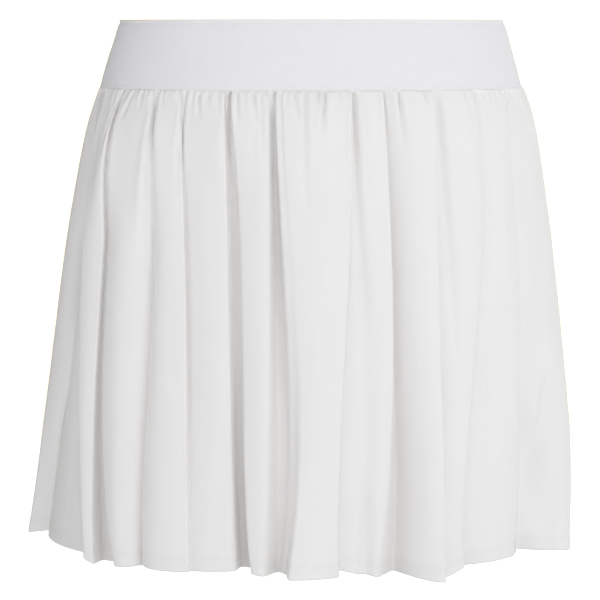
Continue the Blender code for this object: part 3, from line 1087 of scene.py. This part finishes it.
    def _corner(self, ring: Ring, before: Row, stop: Station, after: Row) -> Row:
        """Return the points that round a corner between two stretches.

        Args:
            ring: the ring that the row follows.
            before: the stretch on the left.
            stop: the corner.
            after: the stretch on the right.

        Returns:
            That part of the row.
        """
        place, _, normal = self._placed(ring, *(np.array([one]) for one in
                                                (stop.degrees, stop.out, stop.drop)))
        s = (np.arange(self.edge_points) + 1.0) / (self.edge_points + 1.0)
        weights = np.stack([(1 - s) ** 2, 2 * s * (1 - s), s**2], axis=1)
        points = weights @ np.stack([before[0][-1], place[0], after[0][0]])
        angles = weights @ np.array([before[1][-1], stop.degrees, after[1][0]])
        return points, angles, np.repeat(normal, self.edge_points, axis=0)


@dataclass(frozen=True)
class Skirt:
    """The skirt: a front and a back panel, gathered at the waist, with a turned hem (mm).

    seam_rows are the heights of the rows in the seam. hem_rows are heights above the hem's edge.
    """

    cloth_thickness: float = 0.45
    seam_rows: tuple[float, ...] = (
        LAP_TOP, -20.0, -22.2, -22.9, -23.2, -23.5, -24.0, -24.6, -25.4, -26.5)
    gather_rows: tuple[float, float] = (-28.0, -62.0)
    gather_row_step: float = 2.4
    row_step: float = 8.5
    open_rows_end: float = 13.0
    hem_rows: tuple[float, ...] = (10.6, 9.6, 8.6, 7.6, 6.4, 5.2, 3.0, 1.2, 0.3)
    hem: Hem = Hem(width=10.0, stitch_heights=(8.6, 6.4), proud=0.35, groove=0.2,
                   groove_width=0.9, turned_gap=0.6, fold_drop=0.3, stitch_out=0.305)

    def heights(self) -> np.ndarray:
        """Return the heights of the rows, closer together near the waist and in the hem."""
        first, last = self.gather_rows
        hem_top = HEM_Z + self.open_rows_end
        count = round((last - hem_top) / self.row_step)
        return np.concatenate([self.seam_rows, np.arange(first, last, -self.gather_row_step),
                               np.linspace(last, hem_top, count + 1),
                               HEM_Z + np.array(self.hem_rows)])

    def grid(self, panel: Panel) -> ClothGrid:
        """Return a panel's creased surface, from its top edge to the hem's lowest edge.

        Args:
            panel: the panel.

        Returns:
            The surface.
        """
        counts = panel.panel_counts()
        heights = self.heights()
        rows = [panel.section(SKIRT_RINGS.at(z), counts) for z in heights]
        points, angles, normals = (np.stack(kind) for kind in zip(*rows))
        level = heights[:, None] + np.zeros_like(angles)
        settle = np.clip((PINCH_FROM - level) / PINCH_RUN, 0.0, 1.0)
        moved = relief(panel.creases, angles, level) * settle + self.hem.relief(level - HEM_Z)
        points[..., :2] += moved[..., None] * normals
        return ClothGrid(points, closed=False)

    def build(self, panels: Sequence[Panel], cloth: bpy.types.Material,
              thread: bpy.types.Material) -> None:
        """Build and dress both panels with their hem stitches.

        Args:
            panels: the panels to build.
            cloth: the skirt cloth's material.
            thread: the thread's material.
        """
        for panel in panels:
            grid = self.grid(panel)
            above = (grid.points[:, :, 2] - grid.points[-1:, :, 2]).max(axis=1)
            sheet = self.hem.turned(grid, above)
            piece = sheet.sheet_object(panel.name, cloth)
            with_thickness(piece, self.cloth_thickness, 0.0)
            seams = self.hem.seams(grid, self.heights() - HEM_Z)
            stitches = StitchRow().sew(panel.name + "_hem_stitches", seams, False, thread)
            ride_on_body(piece, "skirt_cloth", panel.node)
            ride_on_body(stitches, "skirt_cloth")
            area = sheet.area()


def skirt_panels() -> tuple[Panel, Panel]:
    """Return the front and the back panel, which meet at the side seams."""
    front_small = SmallCreases(seed=11, first_angle=-94.0, last_angle=94.0).all()
    back_small = SmallCreases(seed=12, first_angle=94.0, last_angle=266.0).all()
    front = Panel("skirt_front_cloth", "skirt_front", FRONT_FOLDS,
                  BACK_FOLDS[-1].turned_round(-1), BACK_FOLDS[0],
                  (*FRONT_CREASES, *front_small))
    back = Panel("skirt_back_cloth", "skirt_back", BACK_FOLDS, FRONT_FOLDS[-1],
                 FRONT_FOLDS[0].turned_round(1), (*BACK_CREASES, *back_small))
    return front, back


# ---------------------------------------------------------------- waistband


@dataclass(frozen=True)
class Waistband:
    """The wide elastic band: one closed ring of thick cloth, with its sizes in mm.

    bead_rows are depths below the top edge and seam_rows are heights, where rows are added for
    the rolled top edge and the stitch grooves. corner_share is how far along its rounding a
    corner's middle point lies. middle is the half width and depth halfway up, whose girth, with
    flat_height, is the strip that is cut.
    """

    rings: tuple[Ring, ...] = (
        Ring(23.5, 133.2, 96.4, 98.4),
        Ring(8, 138.4, 99.8, 102.4),
        Ring(-8, 143.2, 103.4, 106.6),
        Ring(-23.5, 147.6, 106.8, 110.8),
    )
    thickness: float = 1.9
    columns: int = 288
    face_rows: int = 26
    inner_rows: int = 12
    bead_rows: tuple[float, ...] = (1.6, 2.3, 3.0)
    seam_rows: tuple[float, ...] = (-19.4, -20.4, -21.3, -22.3)
    edge_rounding: float = 0.25
    corner_share: float = 0.3
    top_roll: float = 0.5
    top_roll_at: float = 21.2
    top_roll_width: float = 0.7
    stitch_heights: tuple[float, float] = (-20.4, -22.3)
    stitch_groove: float = 0.2
    stitch_groove_width: float = 0.8
    stitch_out: float = 0.1
    middle: tuple[float, float] = (139.5, 103.0)
    flat_height: float = 47.5
    merge_within: float = 0.01

    def face_relief(self, degrees: np.ndarray, z: float) -> np.ndarray:
        """Return how far (mm) the outer face stands out: top roll, stitch grooves and wobble.

        Args:
            degrees: the angles round the body.
            z: the height (mm).

        Returns:
            One distance for each angle.
        """
        bead = -self.top_roll * math.exp(-(((z - self.top_roll_at) / self.top_roll_width) ** 2))
        for height in self.stitch_heights:
            bead -= self.stitch_groove * math.exp(-(((z - height) / self.stitch_groove_width) ** 2))
        # Three slow waves, 5, 11 and 23 to the round, so that worn elastic doesn't look turned.
        angle = np.radians(degrees)
        wobble = (0.25 * np.sin(5 * angle + 0.7) * math.sin(z / 9.0)
                  + 0.18 * np.sin(11 * angle + 2.0 + z / 14.0)
                  + 0.10 * np.sin(23 * angle + z / 5.0))
        return bead + wobble

    def profile(self) -> list[tuple[float, float]]:
        """Return the wall's section as heights and depths below the outer face (mm)."""
        top, bottom = self.rings[0].z, self.rings[-1].z
        r, inner = self.edge_rounding, self.thickness
        part = self.corner_share * r
        heights = {*np.linspace(top - r, bottom + r, self.face_rows),
                   *(top - depth for depth in self.bead_rows), *self.seam_rows}
        face = [(z, 0.0) for z in sorted(heights, reverse=True)]
        lower = [(bottom + part, part), (bottom, r), (bottom + part, inner - part)]
        back = [(z, inner) for z in np.linspace(bottom + r, top - r, self.inner_rows)]
        upper = [(top - part, inner - part), (top, r), (top - part, part)]
        return face + lower + back + upper

    def grid(self) -> ClothGrid:
        """Return the wall as rows, one for each place of its section."""
        table = RingTable(self.rings)
        degrees = all_round(self.columns)
        rows = []
        for z, depth in self.profile():
            moved = self.face_relief(degrees, z) * (1.0 - depth / self.thickness)
            rows.append(table.at(z).row(degrees, moved - depth))
        return ClothGrid(np.stack([*rows, rows[0]]), closed=True)

    def seams(self) -> list[np.ndarray]:
        """Return the two rows of stitches that hold the skirt in the band."""
        table = RingTable(self.rings)
        degrees = all_round(self.columns)
        return [table.at(z).row(degrees, self.face_relief(degrees, z) + self.stitch_out)
                for z in self.stitch_heights]

    def build(self, elastic: bpy.types.Material, thread: bpy.types.Material) -> None:
        """Build and dress the band and its two stitch rows.

        Args:
            elastic: the band's material.
            thread: the thread's material.
        """
        piece = self.grid().sheet_object("waistband_elastic", elastic)
        shell = bmesh.new()
        shell.from_mesh(piece.data)
        bmesh.ops.remove_doubles(shell, verts=shell.verts, dist=self.merge_within * MM)
        bmesh.ops.recalc_face_normals(shell, faces=shell.faces)
        shell.to_mesh(piece.data)
        shell.free()
        row = StitchRow(pitch=2.8, length=2.1)
        stitches = row.sew("waistband_stitches", self.seams(), True, thread)
        ride_on_body(piece, "elastic_band", "waistband")
        ride_on_body(stitches, "elastic_band")


# ---------------------------------------------------------------- inner shorts


SHORTS_RINGS = RingTable((
    Ring(LAP_TOP, 138.9, 99.7, 102.9),
    Ring(-23.5, 141.2, 101.2, 105.2),
    Ring(-30, 143.0, 102.5, 107.0),
    Ring(-60, 150.0, 107.0, 114.0),
    Ring(-110, 156.5, 111.0, 122.0),
    Ring(-170, 159.0, 113.0, 125.0),
    Ring(-205, 158.5, 111.0, 121.0, hem_share=0.12),
    Ring(-232, 157.5, 106.0, 113.0, hem_share=0.6),
    Ring(-250, 156.5, 101.0, 106.0, hem_share=1),
    Ring(-295, 154.0, 95.0, 98.0, hem_share=1),
))


@dataclass(frozen=True)
class Shorts:
    """The inner shorts: two halves that meet in the middle, each a leg and half the seat (mm).

    leg_inside is how far from the middle a leg's inner side lies, loose_from the height below
    which the knit hangs a little loose, over loose_run, and flat_size the half's cut (m).
    """

    cloth_thickness: float = 0.6
    columns: int = 144
    row_step: float = 4.0
    leg_inside: float = 6.0
    hem_z: float = -295.0
    open_rows_end: float = 19.0
    hem_rows: tuple[float, ...] = (16.5, 14.5, 13.0, 11.5, 10.0, 8.5, 5.0, 2.0, 0.4)
    hem: Hem = Hem(width=15.0, stitch_heights=(13.0, 10.0), proud=0.3, groove=0.3,
                   groove_width=1.0, turned_gap=0.8, fold_drop=0.4, stitch_out=0.1)
    seam_gap: float = 0.02
    loose_from: float = -60.0
    loose_run: float = 60.0
    loose_depth: float = 0.6
    ripple_depth: float = 0.7
    flat_size: tuple[float, float] = (0.46, 0.32)

    def heights(self) -> np.ndarray:
        """Return the heights of the rows, closer together at the hem."""
        hem_top = self.hem_z + self.open_rows_end
        count = round((LAP_TOP - hem_top) / self.row_step)
        return np.concatenate([np.linspace(LAP_TOP, hem_top, count + 1),
                               self.hem_z + np.array(self.hem_rows)])

    def grid(self, side: int) -> ClothGrid:
        """Return one half as a full loft, before the other side's part is cut away.

        Args:
            side: -1 for the half at -X, 1 for the half at +X.

        Returns:
            The outer surface, whose rows part into a leg below the crotch.
        """
        degrees = all_round(self.columns)
        rows = []
        for z in self.heights():
            ring = SHORTS_RINGS.at(z)
            row = ring.row(degrees, self.relief(degrees, z))
            leg_centre = (ring.half_width + self.leg_inside) / 2.0
            leg_half_width = (ring.half_width - self.leg_inside) / 2.0
            share = 1.0 + ring.hem_share * (leg_half_width / ring.half_width - 1.0)
            row[:, 0] = ring.hem_share * leg_centre * side + row[:, 0] * share
            rows.append(row)
        return ClothGrid(np.stack(rows), closed=True)

    def relief(self, degrees: np.ndarray, z: float) -> np.ndarray:
        """Return how far (mm) the cloth stands out: the doubled hem and soft ripples.

        Args:
            degrees: the angles round the body.
            z: the height (mm).

        Returns:
            One distance for each angle.
        """
        # Two slow waves, 6 and 13 to the round, that turn a little with height.
        angle = np.radians(degrees)
        loose = min(1.0, max(0.0, (self.loose_from - z) / self.loose_run))
        ripple = np.sin(6 * angle + z / 40.0) * 0.5 + np.sin(13 * angle - z / 27.0) * 0.3
        return (self.hem.relief(z - self.hem_z)
                + loose * (self.ripple_depth * ripple - self.loose_depth))

    def build(self, knit: bpy.types.Material, thread: bpy.types.Material) -> None:
        """Build and dress both halves with their hem stitches.

        Args:
            knit: the shorts' material.
            thread: the thread's material.
        """
        above = self.heights() - self.hem_z
        for node, side in (("shorts_left", -1), ("shorts_right", 1)):
            name = node + "_knit"
            grid = self.grid(side)
            piece = self.hem.turned(grid, above).sheet_object(name, knit)
            shell = bmesh.new()
            shell.from_mesh(piece.data)
            everything = shell.verts[:] + shell.edges[:] + shell.faces[:]
            bmesh.ops.bisect_plane(shell, geom=everything,
                                   plane_co=(side * self.seam_gap * MM / 2.0, 0.0, 0.0),
                                   plane_no=(side, 0.0, 0.0), clear_inner=True)
            area = sum(face.calc_area() for face in shell.faces)
            shell.to_mesh(piece.data)
            shell.free()
            with_thickness(piece, self.cloth_thickness, -1.0)
            seams = self.hem.seams(grid, above)
            stitches = StitchRow().sew(name + "_hem_stitches", seams, True, thread)
            ride_on_body(piece, "shorts_knit", node)
            ride_on_body(stitches, "shorts_knit")
            LOG.info("%s: %.4f square metres", name, area)


# ---------------------------------------------------------------- studio


@dataclass(frozen=True)
class SoftBox:
    """One square soft light: its place and what it faces in metres, its side and its power."""

    name: str
    place: tuple[float, float, float]
    faces: tuple[float, float, float]
    side: float
    power: float

    def build(self) -> None:
        """Add the light to the scene."""
        data = bpy.data.lights.new(self.name, "AREA")
        data.shape, data.size, data.energy = "SQUARE", self.side, self.power
        lamp = add_object(self.name, data)
        lamp.location = self.place
        across, along, up = np.array(self.faces) - np.array(self.place)
        lamp.rotation_euler = (math.pi / 2.0 + math.atan2(up, math.hypot(across, along)), 0.0,
                               math.atan2(along, across) - math.pi / 2.0)


@dataclass(frozen=True)
class Studio:
    """The plain white studio: camera, floor and soft light.

    Places and reaches are in metres, the camera's sensor and lens in mm.
    The air is brightest on bright_side. It fades from bright_edge to dim_edge round the skort,
    and from level_from to level_to above and below. seen_light and paper_glow are added for
    the camera alone, so that the air and the floor read as white paper.
    """

    camera_place: tuple[float, float, float] = (-0.0078, -1.85, 0.0597)
    camera_pitch: float = 7.26
    sensor: float = 36.0
    lens: float = 158.3
    floor_z: float = -1.0
    floor_reach: float = 4.0
    floor_colour: str = "#F4F4F4"
    paper_glow: float = 1.2
    paper_roughness: float = 0.9
    paper_grain: float = 40.0
    paper_relief: float = 0.05
    bright_side: tuple[float, float, float] = (0.22, -0.9755, 0.0)
    bright_colour: str = "#F5F9FF"
    bright_light: float = 1.62
    dim_colour: str = "#FFF0D8"
    dim_light: float = 0.02
    dim_edge: float = -0.46
    bright_edge: float = -0.04
    level_from: float = 0.30
    level_to: float = 0.95
    seen_light: float = 1.5
    lights: tuple[SoftBox, ...] = (
        SoftBox("key_light", (1.45, -2.4, 0.3), (0.0, 0.0, -0.15), 1.0, 8.0),
        SoftBox("back_light", (1.6, 2.2, 0.9), (0.0, 0.0, -0.15), 1.6, 22.0),
    )

    def build(self) -> None:
        """Build the studio round the skort."""
        scene = bpy.context.scene
        data = bpy.data.cameras.new("camera")
        data.sensor_width, data.lens = self.sensor, self.lens
        camera = add_object("camera", data)
        camera.location = self.camera_place
        camera.rotation_euler = (math.radians(90.0 - self.camera_pitch), 0.0, 0.0)
        scene.camera = camera
        for light in self.lights:
            light.build()
        scene.world = self.air()
        scene.view_settings.view_transform = "Standard"
        self.floor()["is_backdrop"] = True

    def air(self) -> bpy.types.World:
        """Return the soft light all round, brighter and cooler on one side than on the other."""
        world = bpy.data.worlds.new("studio_air")
        world.use_nodes = True
        tree = world.node_tree
        node = partial(add_node, tree)
        around = node("ShaderNodeTexCoord").outputs["Generated"]
        towards = node("ShaderNodeVectorMath", {1: self.bright_side}, {0: around},
                       operation="DOT_PRODUCT").outputs["Value"]
        sideways = node("ShaderNodeMapRange",
                        {"From Min": self.dim_edge, "From Max": self.bright_edge},
                        {"Value": towards}, interpolation_type="SMOOTHSTEP").outputs["Result"]
        height = node("ShaderNodeSeparateXYZ", links={0: around}).outputs["Z"]
        steep = node("ShaderNodeMath", links={0: height}, operation="ABSOLUTE").outputs[0]
        level = node("ShaderNodeMapRange",
                     {"From Min": self.level_from, "From Max": self.level_to,
                      "To Min": 1.0, "To Max": 0.0},
                     {"Value": steep}, interpolation_type="SMOOTHSTEP").outputs["Result"]
        share = node("ShaderNodeMath", links={0: sideways, 1: level},
                     operation="MULTIPLY").outputs[0]
        light = node("ShaderNodeMapRange",
                     {"To Min": self.dim_light, "To Max": self.bright_light},
                     {"Value": share}).outputs["Result"]
        colour = node("ShaderNodeMix", links={"Factor": share}, data_type="RGBA")
        for socket in colour.inputs:
            if socket.type == "RGBA":
                tone = self.dim_colour if socket.name == "A" else self.bright_colour
                socket.default_value = linear(tone)
        seen = node("ShaderNodeLightPath").outputs["Is Camera Ray"]
        strength = node("ShaderNodeMath", {1: self.seen_light}, {0: seen, 2: light},
                        operation="MULTIPLY_ADD").outputs[0]
        back = tree.nodes["Background"]
        tree.links.new(next(one for one in colour.outputs if one.type == "RGBA"),
                       back.inputs["Color"])
        tree.links.new(strength, back.inputs["Strength"])
        return world

    def floor(self) -> bpy.types.Object:
        """Return the square floor, well below the hem."""
        reach = self.floor_reach
        corners = [(-reach, -reach), (reach, -reach), (reach, reach), (-reach, reach)]
        mesh = bpy.data.meshes.new("studio_floor")
        mesh.from_pydata([(x, y, self.floor_z) for x, y in corners], [], [(0, 1, 2, 3)])
        mesh.materials.append(self.floor_material())
        return add_object("studio_floor", mesh)

    def floor_material(self) -> bpy.types.Material:
        """Return seamless white studio paper, lit evenly enough to read as white."""
        made, shader = new_material("seamless_paper", {
            "Base Color": linear(self.floor_colour), "Roughness": self.paper_roughness,
            "Emission Color": linear(self.floor_colour)})
        tree = made.node_tree
        place = add_node(tree, "ShaderNodeTexCoord").outputs["Object"]
        grain = add_node(tree, "ShaderNodeTexNoise", {"Scale": self.paper_grain},
                         {"Vector": place}).outputs["Fac"]
        bump = add_node(tree, "ShaderNodeBump", {"Strength": self.paper_relief, "Distance": MM},
                        {"Height": grain}).outputs["Normal"]
        tree.links.new(bump, shader.inputs["Normal"])
        seen = add_node(tree, "ShaderNodeLightPath").outputs["Is Camera Ray"]
        glow = add_node(tree, "ShaderNodeMath", {1: self.paper_glow}, {0: seen},
                        operation="MULTIPLY").outputs[0]
        tree.links.new(glow, shader.inputs["Emission Strength"])
        return made


def write_sizes(box_now: Callable[[], Sequence]) -> None:
    """Gather the CAD model's box and the visual model's box as plain lists of numbers.

    Args:
        box_now: what measures the visual model's box.
    """
    def plain(box: Sequence) -> list[list[float]]:
        """Return a box as plain lists of numbers."""
        return [[float(value) for value in corner] for corner in box]
    {"cad": plain(CAD_BOX), "visual": plain(box_now())}


def main() -> None:
    """Build the skort, piece by piece, and the studio round it."""
    logging.basicConfig(level=logging.INFO, format="%(name)s: %(message)s")
    Studio().build()
    thread = ThreadFinish().material()
    Waistband().build(WOVEN_ELASTIC.material(), thread)
    Skirt().build(skirt_panels(), WOVEN_SKIRT_CLOTH.material(), thread)
    Shorts().build(JERSEY_KNIT.material(), thread)
    write_sizes(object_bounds)


if __name__ == "__main__":
    main()
